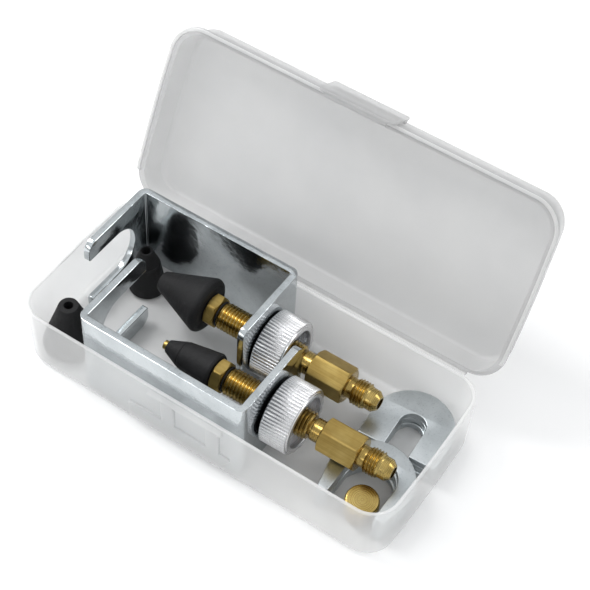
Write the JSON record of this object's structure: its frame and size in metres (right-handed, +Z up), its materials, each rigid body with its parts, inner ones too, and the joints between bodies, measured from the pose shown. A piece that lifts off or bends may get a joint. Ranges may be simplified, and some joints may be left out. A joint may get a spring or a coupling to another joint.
{
  "type": "pipe-end flush and leak-test adaptor kit",
  "caption": "Kit of rubber-cone pipe-end adaptors in slotted steel yokes, with reducer plates, spare cones and a flare cap, in a hinged translucent case",
  "frame": {"origin": "centre of the case's underside", "axes": "+X along the case towards the flare fittings, +Y towards the lid's hinge, +Z up"},
  "size_m": [0.178, 0.1267, 0.1032],
  "materials": {
    "clear_plastic": "translucent, smooth",
    "zinc_plate": "bright zinc plating on sheared plate",
    "brass": "turned and drawn, uncoated",
    "aluminium": "satin anodised",
    "rubber": "matte moulded"
  },
  "bodies": {
    "case": {"case_base": "clear_plastic", "living_hinge": "clear_plastic"},
    "lid": {"case_lid": "clear_plastic"},
    "latch": {"latch_tab": "clear_plastic"},
    "back_yoke": {"yoke_back": "zinc_plate"},
    "back_stem": {"threaded_stem_back": "brass", "nozzle_back": "brass", "stem_seal_back": "rubber", "flare_coupler_back": "brass", "rubber_cone_back": "rubber"},
    "back_nut": {"knurled_nut_back": "aluminium", "thrust_washer_back": "rubber"},
    "front_yoke": {"yoke_front": "zinc_plate"},
    "front_stem": {"threaded_stem_front": "brass", "nozzle_front": "brass", "stem_seal_front": "rubber", "flare_coupler_front": "brass", "rubber_cone_front": "rubber"},
    "front_nut": {"knurled_nut_front": "aluminium", "thrust_washer_front": "rubber"},
    "spare_large": {"spare_cone_large": "rubber"},
    "spare_small": {"spare_cone_small": "rubber"},
    "narrow_plate_1": {"slotted_plate_narrow_1": "zinc_plate"},
    "narrow_plate_2": {"slotted_plate_narrow_2": "zinc_plate"},
    "narrow_plate_3": {"slotted_plate_narrow_3": "zinc_plate"},
    "wide_plate_1": {"slotted_plate_wide_1": "zinc_plate"},
    "wide_plate_2": {"slotted_plate_wide_2": "zinc_plate"},
    "wide_plate_3": {"slotted_plate_wide_3": "zinc_plate"},
    "wide_plate_4": {"slotted_plate_wide_4": "zinc_plate"},
    "cap": {"flare_cap": "brass", "cap_seal": "rubber"}
  },
  "joints": [
    {"name": "lid_swing", "type": "hinge", "parent": "case", "child": "lid", "pos_m": [0, 0.0389, 0.0292], "axis": [-1, 0, 0], "range_deg": [-117, 0]},
    {"name": "latch_flex", "type": "hinge", "parent": "lid", "child": "latch", "pos_m": [0, 0.08547, 0.09571], "axis": [-1, 0, 0], "range_deg": [0, 12], "stiffness_Nm_per_rad": 0.05},
    {"name": "back_yoke_lift", "type": "slide", "parent": "case", "child": "back_yoke", "axis": [0, 0, 1], "range_m": [0, 0.08]},
    {"name": "back_nut_turn", "type": "hinge", "parent": "back_yoke", "child": "back_nut", "pos_m": [0.00125, 0.01235, 0.02235], "axis": [1, 0, 0], "range_deg": [-721, 1441]},
    {"name": "back_stem_slide", "type": "slide", "parent": "back_yoke", "child": "back_stem", "axis": [1, 0, 0], "range_m": [-0.006, 0.003]},
    {"name": "front_yoke_lift", "type": "slide", "parent": "case", "child": "front_yoke", "axis": [0, 0, 1], "range_m": [0, 0.08]},
    {"name": "front_nut_turn", "type": "hinge", "parent": "front_yoke", "child": "front_nut", "pos_m": [0.0223, -0.01235, 0.02235], "axis": [0.9998, 0.0175, 0], "range_deg": [-721, 1441]},
    {"name": "front_stem_slide", "type": "slide", "parent": "front_yoke", "child": "front_stem", "axis": [0.9998, 0.0175, 0], "range_m": [-0.006, 0.003]},
    {"name": "spare_large_lift", "type": "slide", "parent": "case", "child": "spare_large", "axis": [0, 0, 1], "range_m": [0, 0.06]},
    {"name": "spare_small_lift", "type": "slide", "parent": "case", "child": "spare_small", "axis": [0, 0, 1], "range_m": [0, 0.06]},
    {"name": "narrow_plate_1_slide", "type": "slide", "parent": "case", "child": "narrow_plate_1", "axis": [-1, 0, 0], "range_m": [0, 0.02]},
    {"name": "narrow_plate_2_slide", "type": "slide", "parent": "case", "child": "narrow_plate_2", "axis": [-1, 0, 0], "range_m": [0, 0.02]},
    {"name": "narrow_plate_3_slide", "type": "slide", "parent": "case", "child": "narrow_plate_3", "axis": [-1, 0, 0], "range_m": [0, 0.02]},
    {"name": "wide_plate_1_slide", "type": "slide", "parent": "case", "child": "wide_plate_1", "axis": [0, -1, 0], "range_m": [0, 0.003]},
    {"name": "wide_plate_2_slide", "type": "slide", "parent": "case", "child": "wide_plate_2", "axis": [0, -1, 0], "range_m": [0, 0.003]},
    {"name": "wide_plate_3_slide", "type": "slide", "parent": "case", "child": "wide_plate_3", "axis": [0, -1, 0], "range_m": [0, 0.003]},
    {"name": "wide_plate_4_slide", "type": "slide", "parent": "case", "child": "wide_plate_4", "axis": [0, -1, 0], "range_m": [0, 0.003]},
    {"name": "cap_lift", "type": "slide", "parent": "case", "child": "cap", "axis": [0.079, -0.1334, 0.9879], "range_m": [0, 0.06]}
  ],
  "couplings": [
    {"joint": "back_nut_turn", "follows": "back_stem_slide", "rad_per_m": -4188.8},
    {"joint": "front_nut_turn", "follows": "front_stem_slide", "rad_per_m": -4188.8}
  ]
}
